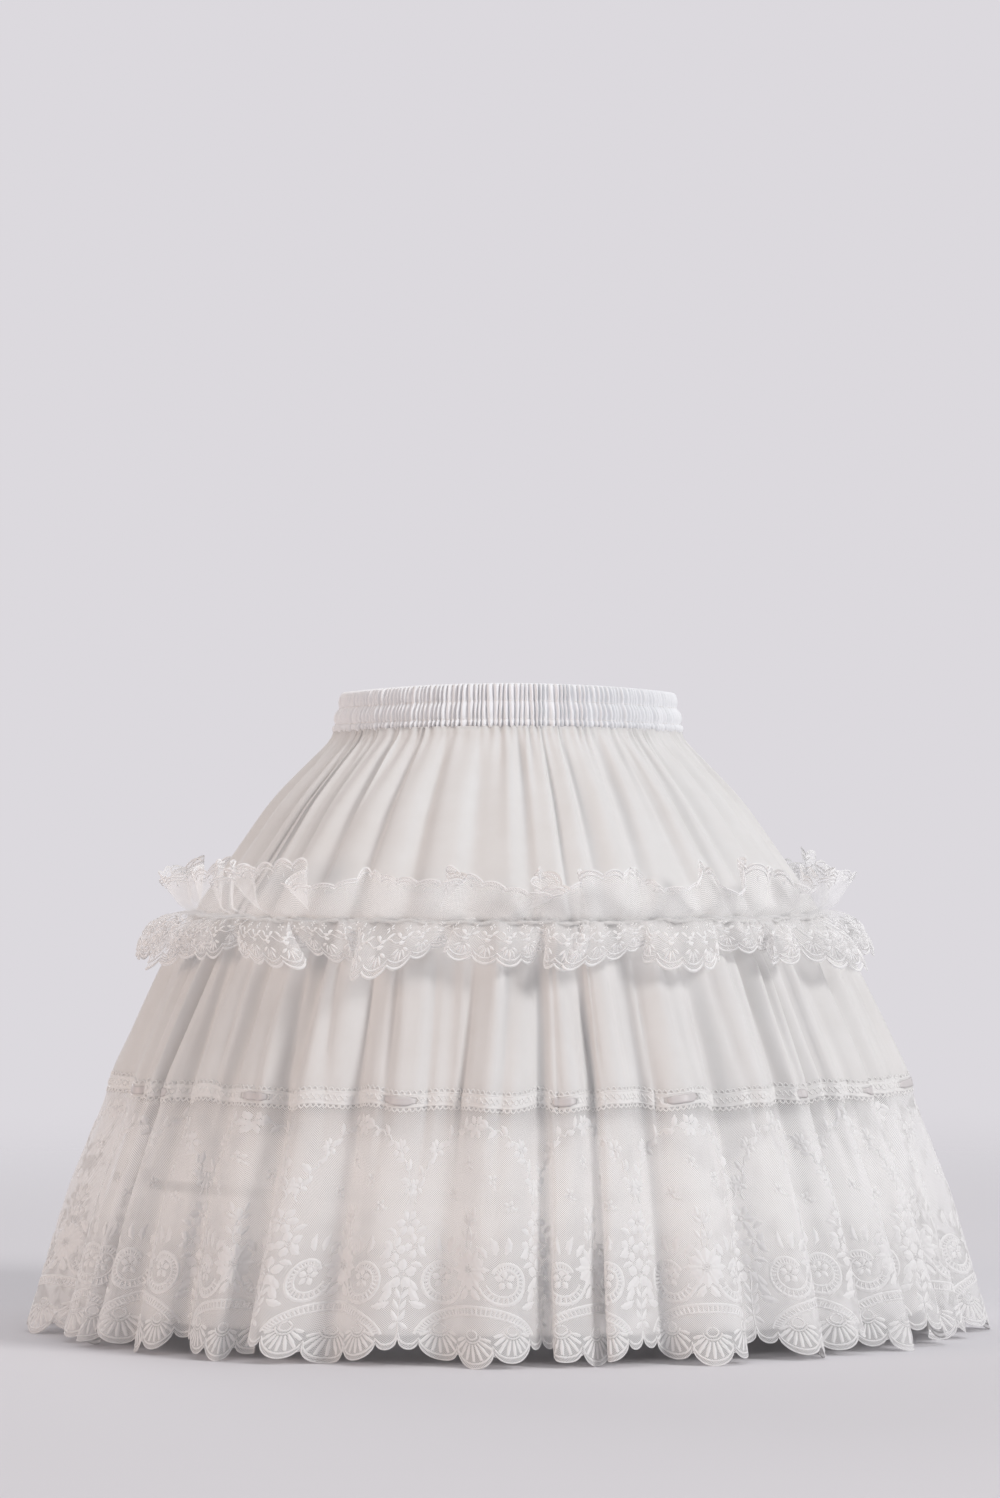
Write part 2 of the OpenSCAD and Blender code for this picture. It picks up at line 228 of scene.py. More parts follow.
def band_rise(z):
    """Share of the waistband's height that lies below a height."""
    return (z - BAND_LOW) / (BAND_HIGH - BAND_LOW)


def waist_dip(turn, z):
    """How far the waist hangs at the sides below its front and back: most at the top of the band."""
    dip = 3.4 * MM * smooth(z, BAND_LOW - 0.06, BAND_LOW) + 2.6 * MM * np.clip(band_rise(z), 0, 1)
    return dip * np.sin(turn) ** 2


def upper(u, z):
    """Upper tier: gathers that start at the waistband and open into long folds with sharp valleys."""
    turn = TAU * u / UPPER_FOLDS
    below = BAND_LOW - z
    drop = np.clip(below / (BAND_LOW - SEAM_HIGH), 0, 1)
    v = u + 0.25 * drop * ripple(turn, z, (3, 5, 8, 11), 0.4, 31)
    rx, ry = (blurred(z, UPPER_Z, h, 9 * MM) for h in UPPER_HALF)
    depth = blurred(z, UPPER_Z, UPPER_DEPTH, 12 * MM) * (0.35 + 0.8 * smooth(below, 0.0, 0.035))
    crest = per_fold(v, UPPER_FOLDS, 0.4, 1.15, 33)
    power = np.clip(1.35 + 0.5 * ripple(turn, z, (4, 9, 14), 0.3, 39), 1.05, 2.2)
    wave = 2 * swell(v, power) * crest - 1
    pinch = between_folds(v, UPPER_FOLDS, 0.0, 0.08, 37)
    lean = np.clip(0.16 * ripple(turn, 0, (3, 5, 9), 1, 38), -0.18, 0.18)
    theta = fold_turn(v, UPPER_FOLDS) + TAU / UPPER_FOLDS * sideways(v, pinch, lean)
    gather = 0.8 * MM * np.exp(-below / 0.016) * ripple(turn, z, (127, 149, 163), 0.6, 34)
    opening = smooth(below, -0.004, 0.02)
    gather = gather + 1.9 * MM * opening * np.exp(-below / 0.08) * ripple(turn, z, (61, 73, 83), 0.5, 35)
    gather = gather + 0.9 * MM * np.exp(-below / 0.006)
    crease = 0.6 * MM * drop * ripple(turn, z, (19, 27, 33, 47), 0.2, 36)
    out = depth * wave + gather + crease
    return round_points(theta, rx + out, ry + out, z - waist_dip(theta, z))


def tier_edge():
    """Directions round the upper tier's lower edge, and its radius in each."""
    u = np.linspace(0, UPPER_FOLDS, UPPER_FOLDS * 60, endpoint=False)
    p = upper(u, np.full_like(u, SEAM_HIGH))
    turn = np.arctan2(p[:, 0], -p[:, 1])
    order = np.argsort(turn)
    return turn[order], np.hypot(p[:, 0], p[:, 1])[order]


TIER_EDGE = tier_edge()


def seam_wander(turn):
    """How far the ruffle seam rises and falls round the skirt."""
    return 1.1 * MM * ripple(turn, 0, (7, 13, 31, 47, 71), 1, 92)


def frill_surface(node, seed, rises):
    """A gathered frill: takes a wave number and a share of its width from root to edge."""
    low, high = heights(node)
    root_z, edge_z = (low - 1 * MM, high) if rises else (high + 4 * MM, low)
    root_r = ring(node, low if rises else high)[0] + (0.6 if rises else 1.8) * MM
    edge_r, edge_depth = ring(node, edge_z)
    # The soft frill ruffles more than its solid can, and its crests hang or rise further than its valleys
    out_depth = (1.7 if rises else 2.1) * edge_depth
    end_depth = (1.0 if rises else 1.25) * edge_depth
    # How early the frill turns outwards and then up or down, as shares of its width
    bend_out, bend_along = (0.6, 0.45) if rises else (1.05, 0.1)

    def surface(u, t):
        turn = TAU * u / FRILL_WAVES
        v = u + 0.2 * ripple(turn, 0, (5, 9, 13), 1, seed)
        size = per_fold(v, FRILL_WAVES, 0.3, 1.18, seed + 1)
        wave = 2 * swell(v, 1.6) * size - 1
        middle = 2 * t * (1 - t)
        r = root_r + (edge_r - root_r) * (middle * bend_out + t * t)
        z = root_z + (edge_z - root_z) * (middle * bend_along + t * t)
        opening = t**0.8
        pinch = between_folds(v, FRILL_WAVES, 0.1, 0.3, seed + 6) * opening
        lean = np.clip(0.75 * ripple(turn, 0, (4, 7, 10), 1, seed + 2), -0.85, 0.85) * opening
        theta = fold_turn(v, FRILL_WAVES) + TAU / FRILL_WAVES * sideways(v, pinch, lean)
        flute = 0.55 * edge_depth * opening * ripple(turn, 0, (61, 73, 89), 1, seed + 3)
        gather = 1.2 * MM * np.exp(-t / 0.3) * ripple(turn, 0, (109, 131, 157), 1, seed + 4)
        r = r + out_depth * opening * (wave - 0.1) + flute + gather
        # The root is sewn along the upper tier's folded edge
        sewn = np.interp(theta, *TIER_EDGE, period=TAU) + (0.5 if rises else 1.3) * MM
        r = r + (sewn - root_r) * (1 - smooth(t, 0, 0.25 if rises else 0.12))
        along = end_depth * (-wave if rises else wave - 1.0)
        along = along + (3.6 if rises else 2.6) * MM * ripple(turn, 0, (13, 21, 27, 34, 51), 1, seed + 5)
        heading = 0 if rises else 0.9 * MM * ripple(turn, 0, (89, 113, 137), 1, seed + 7)
        root_wander = (1 - t) * seam_wander(theta) + (1 - smooth(t, 0, 0.25)) * heading
        z = z + root_wander + np.sign(edge_z - root_z) * along * t**1.5
        behind = at_height(z, SKIRT_Z, SKIRT_R + SKIRT_DEPTH)
        below = smooth(SEAM_HIGH - z, 0, 3 * MM)
        r = r if rises else np.maximum(r, behind + 1.5 * MM * np.minimum(1, 4 * t) - 9 * MM * (1 - below))
        return round_points(theta, r, r, z)

    return surface, abs(edge_z - root_z)


upper_frill, upper_frill_width = frill_surface("upper_frill", 41, True)
lower_frill, lower_frill_width = frill_surface("lower_frill", 51, False)

LINING_WAVES = 20
LINING_Z = levels("lining")
LINING_X, LINING_Y = (np.array([reach_at("lining", z, axis) for z in LINING_Z]) for axis in (0, 1))
HOOP_Z = [sum(heights(h)) / 2 for h in HOOPS]


def lining(u, z):
    """A-line lining: held round at the hoops, with soft waves between them and below."""
    turn = TAU * u / LINING_WAVES
    rx, ry = at_height(z, LINING_Z, LINING_X), at_height(z, LINING_Z, LINING_Y)
    free = np.min([1 - np.exp(-(((z - h) / 0.022) ** 2)) for h in HOOP_Z], axis=0)
    below = smooth(-z, -HOOP_Z[2], 0)
    top = smooth(z, HOOP_Z[0], HOOP_Z[0] + 0.03)
    depth = (1.2 * MM + 2.6 * MM * below) * free * (1 - top)
    wave = depth * (1 + ripple(turn, z, (13, 17, 21), 0.5, 61))
    room = at_height(z, SKIRT_Z, SKIRT_R - SKIRT_DEPTH) - 5 * MM - np.maximum(rx, ry)
    wave = np.minimum(wave, np.maximum(room, 0))
    # Drawn in behind the upper tier, so that the tier's valleys stay clear of it
    behind_tier = smooth(z, SEAM_LOW - 12 * MM, SEAM_LOW + 4 * MM)
    behind_tier = behind_tier * (1 - smooth(z, BAND_LOW - 6 * MM, BAND_LOW))
    wave = wave - 1.2 * MM * behind_tier
    return round_points(turn, rx + wave, ry + wave, z - waist_dip(turn, z))


# Mesh building


def new_piece(name, points, faces, material, uv=None, density=None, smooth=True):
    mesh = bpy.data.meshes.new(name)
    faces = faces if isinstance(faces, list) else faces.tolist()
    mesh.from_pydata(np.asarray(points, float).tolist(), [], faces)
    if uv is not None:
        mesh.uv_layers.new(name="cloth").data.foreach_set("uv", np.asarray(uv, np.float32).ravel())
    if density is not None:
        layer = mesh.attributes.new("density", "FLOAT", "POINT")
        layer.data.foreach_set("value", np.asarray(density, np.float32).ravel())
    mesh.polygons.foreach_set("use_smooth", np.full(len(mesh.polygons), smooth))
    mesh.materials.append(material)
    mesh.update()
    obj = bpy.data.objects.new(name, mesh)
    bpy.context.scene.collection.objects.link(obj)
    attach(obj, "root")
    return obj


def cells(rows, columns):
    """Row and column of each cell of a grid that closes round, and the next column."""
    i, j = np.meshgrid(np.arange(rows - 1), np.arange(columns), indexing="ij")
    return i, j, (j + 1) % columns


def grid_quads(rows, columns, mask=None):
    """Quads of a grid that closes round, with outward faces when its rows run from the top down."""
    i, j, k = cells(rows, columns)
    corners = [(i, j), (i + 1, j), (i + 1, k), (i, k)]
    quads = np.stack([row * columns + column for row, column in corners], axis=-1)
    return quads.reshape(-1, 4) if mask is None else quads[mask]


def grid_uv(along, down, mask=None):
    """Cloth coordinates in metres for each corner of grid_quads, with no jump where the grid closes."""
    i, j, _ = cells(down.shape[0], down.shape[1] - 1)
    corners = [(i, j), (i + 1, j), (i + 1, j + 1), (i, j + 1)]
    uv = np.stack([np.stack([along[c[1]], down[c]], axis=-1) for c in corners], axis=2)
    return uv.reshape(-1, 4, 2) if mask is None else uv[mask]


def normals(surface, u, z, du=0.01, dz=0.4 * MM):
    across = surface(u + du, z) - surface(u - du, z)
    up = surface(u, z + dz) - surface(u, z - dz)
    n = np.cross(across, up)
    return n / np.linalg.norm(n, axis=-1, keepdims=True)


def cloth_lengths(points):
    """Length along the cloth of the middle row, and down it from the top row, for a closed grid of points."""
    closed = np.concatenate([points, points[:, :1]], axis=1)
    along = run_length(closed[len(points) // 2])
    steps = np.linalg.norm(np.diff(closed, axis=0), axis=2)
    down = np.concatenate([np.zeros((1, closed.shape[1])), np.cumsum(steps, axis=0)])
    return along, down


def shell(name, outer, inner, material, mask=None):
    """Closed cloth between two grids of points, with rims at its edges and round cells the mask omits."""
    rows, columns = outer.shape[:2]
    mask = np.ones((rows - 1, columns), bool) if mask is None else mask
    count = rows * columns
    front = grid_quads(rows, columns, mask)
    back = front[:, ::-1] + count
    padded = np.zeros((rows + 1, columns), bool)
    padded[1:-1] = mask
    i, j, k = cells(rows, columns)
    rims = []
    for edge, a, b in [
        (mask & ~padded[:-2], (i, k), (i, j)),
        (mask & ~padded[2:], (i + 1, j), (i + 1, k)),
        (mask & ~np.roll(mask, 1, axis=1), (i, j), (i + 1, j)),
        (mask & ~np.roll(mask, -1, axis=1), (i + 1, k), (i, k)),
    ]:
        p, q = (c[0][edge] * columns + c[1][edge] for c in (a, b))
        rims.append(np.stack([q, p, p + count, q + count], axis=-1))
    faces = np.concatenate([front, back, *rims])
    along, down = cloth_lengths(outer)
    length = np.linalg.norm(np.roll(outer, -1, axis=1) - outer, axis=2).sum(axis=1).mean()
    uv = grid_uv(along, down, mask)
    rim_uv = np.zeros((len(faces) - 2 * len(uv), 4, 2))
    used = np.unique(faces)
    lookup = np.zeros(2 * count, int)
    lookup[used] = np.arange(len(used))
    points = np.concatenate([outer.reshape(-1, 3), inner.reshape(-1, 3)])[used]
    piece = new_piece(name, points, lookup[faces], material, np.concatenate([uv, uv[:, ::-1], rim_uv]))
    return piece, length, down[-1].mean()


def net_piece(name, points, material, density):
    """One layer of net on a grid of points."""
    quads, uv = grid_quads(*points.shape[:2]), grid_uv(*cloth_lengths(points))
    return new_piece(name, points.reshape(-1, 3), quads, material, uv, density)


class Embroidery:
    """Raised stitching on a surface: strokes of varied width, each a closed three-sided thread."""

    def __init__(self, place):
        self.place = place
        self.points, self.faces, self.count = [], [], 0

    def stroke(self, line, width, height=0.5 * MM, closed=False):
        """line is (copies, n, 2) in cloth coordinates, width one number or n numbers."""
        line = line if line.ndim == 3 else line[None]
        copies, n, _ = line.shape
        width = np.broadcast_to(width, (n,))
        if closed:
            step = np.roll(line, -1, axis=1) - np.roll(line, 1, axis=1)
        else:
            step = np.gradient(line, axis=1)
        step = step / np.maximum(np.linalg.norm(step, axis=-1, keepdims=True), 1e-9)
        side = np.stack([-step[..., 1], step[..., 0]], axis=-1) * width[None, :, None] / 2
        left, _ = self.place(line + side)
        right, _ = self.place(line - side)
        middle, normal = self.place(line)
        ridge = height * (width / np.max(width))[None, :, None] + 0.1 * MM
        points = np.stack([left, middle + normal * ridge, right], axis=2)
        start = self.count + np.arange(copies)[:, None, None] * n * 3
        i = np.arange(n if closed else n - 1)[None, :, None]
        i, j = i * 3, (i + 1) % n * 3
        a = np.arange(3)[None, None, :]
        b = (a + 1) % 3
        quads = np.stack([start + i + a, start + i + b, start + j + b, start + j + a], axis=-1)
        self.faces += quads.reshape(-1, 4).tolist()
        if not closed:
            s = start[:, 0, 0]
            e = s + (n - 1) * 3
            for end in ([s + 2, s + 1, s], [e, e + 1, e + 2]):
                self.faces += np.stack(end, axis=-1).tolist()
        self.points.append(points.reshape(-1, 3))
        self.count += copies * n * 3

    def stamp(self, shape, centres, height=0.5 * MM):
        """Repeats one (line, width) at each of the centres along the cloth."""
        line, width = shape
        self.stroke(line[None] + np.stack([centres, 0 * centres], axis=-1)[:, None], width, height)

    def finish(self, name, material):
        return new_piece(name, np.concatenate(self.points), self.faces, material, smooth=False)


def arc(centre, radius, start, end, n):
    """Points round a centre: the radius is one number, one for each axis or one for each point."""
    a = np.radians(np.linspace(start, end, n))
    return centre + radius * np.stack([np.cos(a), np.sin(a)], axis=-1)


def lens(n, width):
    """Widths of a leaf or petal from its foot to its tip."""
    return width * np.maximum(np.sin(np.pi * np.linspace(0.06, 0.97, n)) ** 0.8, 0.08)


def leaf(foot, angle, length, bend=0.0, n=LEAF_POINTS):
    t = np.linspace(0, 1, n)
    a = math.radians(angle) + bend * t
    return np.stack([foot[0] + length * t * np.cos(a), foot[1] + length * t * np.sin(a)], axis=-1)


def petal(foot, angle, length, width, bend=0.0, n=LEAF_POINTS):
    """A leaf or petal as (line, widths)."""
    return leaf(foot, angle, length, bend, n), lens(n, width)


def aside(place, distance, angle):
    """The point at a distance from a place, in a direction given in degrees."""
    a = math.radians(angle)
    return place[0] + distance * math.cos(a), place[1] + distance * math.sin(a)


# Materials


def new_material(name):
    m = bpy.data.materials.new(name)
    m.use_nodes = True
    m.node_tree.nodes.clear()
    return m, m.node_tree


def node(tree, kind, inputs=None, **settings):
    """A shader node. A node given as an input is linked by its first output, a socket as it is."""
    n = tree.nodes.new("ShaderNode" + kind)
    for key, value in settings.items():
        setattr(n, key, value)
    for key, value in (inputs or {}).items():
        value = value.outputs[0] if isinstance(value, bpy.types.Node) else value
        if isinstance(value, bpy.types.NodeSocket):
            tree.links.new(value, n.inputs[key])
        else:
            n.inputs[key].default_value = value
    return n


def maths(tree, operation, *values):
    return node(tree, "Math", dict(enumerate(values)), operation=operation)


def ranged(tree, value, from_min, from_max, to_min, to_max):
    """A value mapped smoothly from one range to another."""
    inputs = {"Value": value, "From Min": from_min, "From Max": from_max, "To Min": to_min, "To Max": to_max}
    return node(tree, "MapRange", inputs, interpolation_type="SMOOTHSTEP")


def object_place(tree):
    return node(tree, "TexCoord").outputs["Object"]


def weave_height(tree, thread):
    """Height of a plain weave of the given thread spacing, from the cloth's own coordinates."""
    looks = {"Scale": 0.05 / thread * TAU / 2, "Distortion": 0.6, "Detail": 1.0}
    looks["Vector"] = node(tree, "UVMap", uv_map="cloth")
    waves = [node(tree, "TexWave", looks, wave_type="BANDS", bands_direction=way) for way in "XY"]
    return maths(tree, "MAXIMUM", *[wave.outputs["Fac"] for wave in waves])


def mottled(tree, colour, shade, scale):
    """A colour that varies softly over the object, and the noise that varies it."""
    looks = {"Scale": scale, "Detail": 4.0, "Roughness": 0.6, "Vector": object_place(tree)}
    noise = node(tree, "TexNoise", looks).outputs["Fac"]
    ramp = node(tree, "ValToRGB", {"Fac": noise})
    dark, light = ramp.color_ramp.elements
    dark.position, dark.color = 0.3, (*shade, 1)
    light.position, light.color = 0.7, (*colour, 1)
    return ramp, noise


def soft_shader(tree, tint, looks, through, height, strength, distance):
    """A surface with relief, mixed with the light that comes through the cloth."""
    relief = node(tree, "Bump", {"Strength": strength, "Distance": distance, "Height": height})
    surface = node(tree, "BsdfPrincipled", {**looks, "Base Color": tint, "Normal": relief})
    glow = node(tree, "BsdfTranslucent", {"Color": tint})
    return node(tree, "MixShader", {"Fac": through, 1: surface, 2: glow})


def cloth_material(name, colour, shade, thread, roughness=0.8, sheen=0.25, through=0.12, bump=0.15,
                   specular=0.2):
    """Woven cloth: soft colour, weave relief, sheen, and some light through it."""
    m, tree = new_material(name)
    tint = mottled(tree, colour, shade, 38.0)[0]
    looks = {"Roughness": roughness, "Sheen Weight": sheen, "Sheen Roughness": 0.4}
    looks["Specular IOR Level"] = specular
    body = soft_shader(tree, tint, looks, through, weave_height(tree, thread), bump, 0.15 * MM)
    node(tree, "OutputMaterial", {"Surface": body})
    return m


def paint_hoop_shadows(m):
    """Greys a cloth where a hoop lies behind it: a painted shadow of the hoop that shows faintly through,
    darkest at the left, the shaded side.
    """
    tree = m.node_tree
    place = node(tree, "SeparateXYZ", {0: object_place(tree)})
    away = [maths(tree, "ABSOLUTE", maths(tree, "SUBTRACT", place.outputs["Z"], z)) for z in HOOP_Z]
    nearest = maths(tree, "MINIMUM", maths(tree, "MINIMUM", *away[:2]), away[2])
    # The painted shadow is darkest at the left, the side turned from the key light.
    darkest = ranged(tree, place.outputs["X"], -0.24, -0.15, 0.6, 0.93)
    shade = ranged(tree, nearest, 2.4 * MM, 4.6 * MM, darkest, 1.0)
    for shader in [n for n in tree.nodes if n.type in ("BSDF_PRINCIPLED", "BSDF_TRANSLUCENT")]:
        socket = shader.inputs[0]
        plain = socket.links[0].from_socket
        scaled = node(tree, "VectorMath", {0: plain, "Scale": shade}, operation="SCALE")
        tree.links.new(scaled.outputs[0], socket)


def net_material(name, colour, mesh, open_cover, dense_cover):
    """Fine diagonal net: threads between see-through cells, closer where the piece's density is high."""
    m, tree = new_material(name)
    place = node(tree, "SeparateXYZ", {0: node(tree, "UVMap", uv_map="cloth")})
    strands = []
    for operation in ("ADD", "SUBTRACT"):
        slant = maths(tree, operation, place.outputs["X"], place.outputs["Y"])
        wave = maths(tree, "SINE", maths(tree, "MULTIPLY", slant, math.pi / mesh))
        strands.append(maths(tree, "ABSOLUTE", wave))
    thread = maths(tree, "MAXIMUM", *strands)
    density = node(tree, "Attribute", attribute_name="density").outputs["Fac"]
    limits = []
    for low, high in ((0.55 * open_cover, 0.9 * dense_cover), (1.5 * open_cover, 1.1 * dense_cover)):
        inputs = {"Value": density, "To Min": min(low, 1), "To Max": min(high, 1)}
        limits.append(node(tree, "MapRange", inputs))
    cover = ranged(tree, thread, 0.72, 1.0, *limits)
    tint = mottled(tree, colour, tuple(0.97 * c for c in colour), 60.0)[0]
    looks = {"Roughness": 0.7, "Sheen Weight": 0.2, "Specular IOR Level": 0.2}
    body = soft_shader(tree, tint, looks, 0.22, thread, 0.2, 0.1 * MM)
    mix = node(tree, "MixShader", {"Fac": cover, 1: node(tree, "BsdfTransparent"), 2: body})
    node(tree, "OutputMaterial", {"Surface": mix})
    return m


def thread_material(name, colour, shade, through):
    """Embroidery thread: satin stitches with fine ridges and a soft shine."""
    m, tree = new_material(name)
    tint = mottled(tree, colour, shade, 90.0)[0]
    pattern = {"Scale": 420.0, "Distortion": 2.0, "Detail": 1.0, "Vector": object_place(tree)}
    stitches = node(tree, "TexWave", pattern, bands_direction="DIAGONAL").outputs["Fac"]
    looks = {"Roughness": 0.5, "Sheen Weight": 0.2, "Specular IOR Level": 0.35}
    body = soft_shader(tree, tint, looks, through, stitches, 0.25, 0.15 * MM)
    node(tree, "OutputMaterial", {"Surface": body})
    return m


def metal_material(name, colour, metallic, roughness):
    """Metal with a faint mottle in its colour and its surface."""
    m, tree = new_material(name)
    tint, noise = mottled(tree, colour, tuple(0.85 * c for c in colour), 120.0)
    relief = node(tree, "Bump", {"Strength": 0.1, "Distance": 0.1 * MM, "Height": noise})
    looks = {"Base Color": tint, "Metallic": metallic, "Roughness": roughness, "Normal": relief}
    node(tree, "OutputMaterial", {"Surface": node(tree, "BsdfPrincipled", looks)})
    return m


WHITE = (0.86, 0.85, 0.845)
tier_cloth = cloth_material("tier_cloth", WHITE, (0.835, 0.82, 0.81), 0.35 * MM, through=0.2)
band_cloth = cloth_material("band_cloth", (0.91, 0.915, 0.94), (0.88, 0.885, 0.91), 0.3 * MM, through=0.05)
lining_cloth = cloth_material("lining_cloth", (0.94, 0.93, 0.92), (0.92, 0.905, 0.89), 0.4 * MM, through=0.03)
# The lining gets a painted shadow of the hoops, darkest on its shaded left side.
paint_hoop_shadows(lining_cloth)
# Grey tape for the hoop casings. On the ruffle seam its grey is a painted shadow line between the frills.
casing_tape = cloth_material("casing_tape", (0.74, 0.73, 0.72), (0.69, 0.68, 0.67), 0.6 * MM,
                             through=0.05, bump=0.3)
# The ribbon's grey-mauve tone is painted shade: pale satin darkened as if in shadow.
ribbon_satin = cloth_material("ribbon_satin", (0.70, 0.67, 0.67), (0.66, 0.63, 0.63), 0.2 * MM,
                              roughness=0.35, sheen=0.1, through=0.1, bump=0.08, specular=0.5)
flounce_net = net_material("flounce_net", (0.97, 0.965, 0.965), 1.5 * MM, 0.55, 0.94)
frill_net = net_material("frill_net", (0.985, 0.98, 0.98), 1.5 * MM, 0.26, 0.94)
lace_thread = thread_material("lace_thread", (0.85, 0.845, 0.845), (0.825, 0.815, 0.815), 0.1)
frill_thread = thread_material("frill_thread", (0.95, 0.945, 0.945), (0.92, 0.915, 0.915), 0.2)
trim_thread = thread_material("trim_thread", (0.89, 0.88, 0.875), (0.86, 0.85, 0.84), 0.12)
elastic_cord = cloth_material("elastic", (0.70, 0.70, 0.70), (0.6, 0.6, 0.6), 0.8 * MM,
                              roughness=0.7, sheen=0.1, through=0.0, bump=0.4)
hoop_steel = metal_material("hoop_steel", (0.72, 0.72, 0.72), 0.0, 0.45)
sleeve_steel = metal_material("sleeve_steel", (0.60, 0.60, 0.62), 1.0, 0.35)


# Waistband

BAND_RIBS = 208
# Heights of the band's two rows of stitching, between its lower and upper edges
CHANNELS = [BAND_LOW, BAND_LOW + 6.4 * MM, BAND_LOW + 19.6 * MM, BAND_HIGH]


def band_profile(z):
    """How far the band's outer face stands out from its mean oval, and how deep its ribs are, at a height."""
    pillow = 0
    for low, high in zip(CHANNELS, CHANNELS[1:]):
        t = np.clip((z - low) / (high - low), 0, 1)
        pillow = pillow + np.where((t > 0) & (t < 1), (4 * t * (1 - t)) ** 0.4, 0)
    heading = 0.35 * smooth(-z, -BAND_LOW - 3 * MM, -BAND_LOW)
    stitched = 0.55 * ((z > CHANNELS[0]) & (z < CHANNELS[-1]))
    return np.maximum(np.maximum(pillow, heading), stitched)


def waistband(u, z):
    turn = TAU * u / BAND_RIBS
    pillow, rise = band_profile(z), band_rise(z)
    rx, ry = half_widths("waistband") - 4.1 * MM
    taper = -5.0 * MM * smooth(rise, 0.1, 1)
    v = u + 0.28 * ripple(turn, z, (9, 23, 37, 51), 0.1, 71)
    rib = np.abs(np.sin(np.pi * v)) * (1 + 0.22 * ripple(turn, z, (31, 43, 67), 0.08, 72))
    out = taper + 0.9 * MM * pillow + (0.8 * MM + 2.9 * MM * pillow) * rib
    heading = rib - 0.5 + 0.4 * ripple(turn, 0, (83, 97, 121), 1, 73)
    frayed = (1 - smooth(rise, 0.0, 0.12)) * 1.2 * MM * heading
    return round_points(turn, rx + out, ry + out, z - waist_dip(turn, z) - frayed)


def band_inside(u, z):
    turn = TAU * u / BAND_RIBS
    rx, ry = half_widths("waistband") - 7.4 * MM
    out = -2.8 * MM * smooth(band_rise(z), 0.1, 1) + 0.35 * MM * np.cos(TAU * u)
    return round_points(turn, rx + out, ry + out, z - waist_dip(turn, z))


def make_elastic(name):
    """A flat braided elastic in its channel of the band."""
    low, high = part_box(name)
    columns, rows = 240, 7
    turn, z = np.meshgrid(TAU * np.arange(columns) / columns, np.linspace(high.z, low.z, rows))
    braid = 0.12 * MM * np.cos(TAU * np.arange(rows) / 2)[:, None]
    z_dipped = z - waist_dip(turn, z)
    outer = round_points(turn, high.x + braid, high.y + braid, z_dipped)
    inner = round_points(turn, high.x - CLOTH, high.y - CLOTH, z_dipped)
    cord = shell(name + "_braid", outer, inner, elastic_cord)[0]
    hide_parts(name)


def make_waistband():
    steps = np.array([0.0, 0.06, 0.2, 0.4, 0.6, 0.8, 0.94])
    z = [low + (high - low) * steps for low, high in zip(CHANNELS, CHANNELS[1:])]
    z = np.concatenate([*z, [BAND_HIGH]])[::-1]
    u, z = np.meshgrid(np.arange(BAND_RIBS * RIB_COLUMNS) / RIB_COLUMNS, z)
    band, length, width = shell("shirred_waistband", waistband(u, z), band_inside(u, z), band_cloth)
    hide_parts("waistband")

    def place(line):
        return waistband(line[..., 0], line[..., 1]), normals(waistband, line[..., 0], line[..., 1])

    stitches = Embroidery(place)
    for row in CHANNELS[1:-1]:
        stitch = np.array([(0.15, row), (0.5, row), (0.85, row)])
        stitches.stamp((stitch, 0.6 * MM), np.arange(BAND_RIBS), 0.35 * MM)
    stitches.finish("waistband_stitching", trim_thread)


# Tiers


def make_tier(name, surface, folds, columns, z):
    """A closed cloth wall on a folded surface, from its top height to its bottom one."""
    u, z = np.meshgrid(np.arange(folds * columns) / columns, z)
    outer = surface(u, z)
    inner = outer - 0.6 * MM * normals(surface, u, z)
    tier, length, width = shell(name + "_cloth", outer, inner, tier_cloth)
    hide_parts(name)


def make_tiers():
    z = np.linspace(BAND_LOW + 1.5 * MM, SEAM_HIGH - 2 * MM, UPPER_ROWS)
    make_tier("upper_tier", upper, UPPER_FOLDS, UPPER_COLUMNS, z)
    z = np.linspace(SEAM_LOW + 2 * MM, BEAD_LOW + 2 * MM, LOWER_ROWS)
    make_tier("lower_tier", skirt, LOWER_FOLDS, FOLD_COLUMNS, z)


# Lining, casings and the ruffle seam


def make_lining():
    turn_up = LINING_HEM + 14 * MM
    body = np.concatenate([np.linspace(BAND_LOW, turn_up, LINING_ROWS), LINING_Z])
    body = np.unique(np.round(body[body > turn_up - 0.1 * MM], 5))[::-1]
    z = np.concatenate([body, np.linspace(turn_up - 0.5 * MM, LINING_HEM, 4)])
    u, z = np.meshgrid(np.arange(LINING_WAVES * LINING_COLUMNS) / LINING_COLUMNS, z)
    outer = lining(u, z)
    # The hem is turned up, so it is two layers thick
    hem = np.where(z < turn_up - 0.2 * MM, 1.1 * MM, 0.55 * MM)[..., None]
    piece, length, width = shell("a_line_lining", outer, outer - hem * normals(lining, u, z), lining_cloth)
    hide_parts("lining")


def make_casing(hoop):
    """A tape sewn flat along both edges, with a full channel between them."""
    low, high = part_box(hoop + "_casing")
    centre_z = (low.z + high.z) / 2
    outer = at_height(centre_z, LINING_Z, LINING_X) - 1.1 * MM
    slope = (LINING_X[2] - LINING_X[1]) / (LINING_Z[1] - LINING_Z[2])
    along = np.linspace(-1, 1, 9) * (high.z - low.z) / 2
    columns = 360
    turn, s = np.meshgrid(TAU * np.arange(columns) / columns, along[::-1])
    bulge = 3.3 * MM * np.sqrt(np.clip(1 - (s / (4.6 * MM)) ** 2, 0, 1)) + 0.5 * MM
    pucker = 0.25 * MM * ripple(turn, s, (97, 121, 143), 0.05, 81)
    face = outer - slope * s
    inner = face - bulge - np.abs(pucker)
    outside, inside = (round_points(turn, r, r, centre_z + s) for r in (face, inner))
    piece = shell(hoop + "_casing_tape", outside, inside, casing_tape)[0]
    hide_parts(hoop + "_casing")


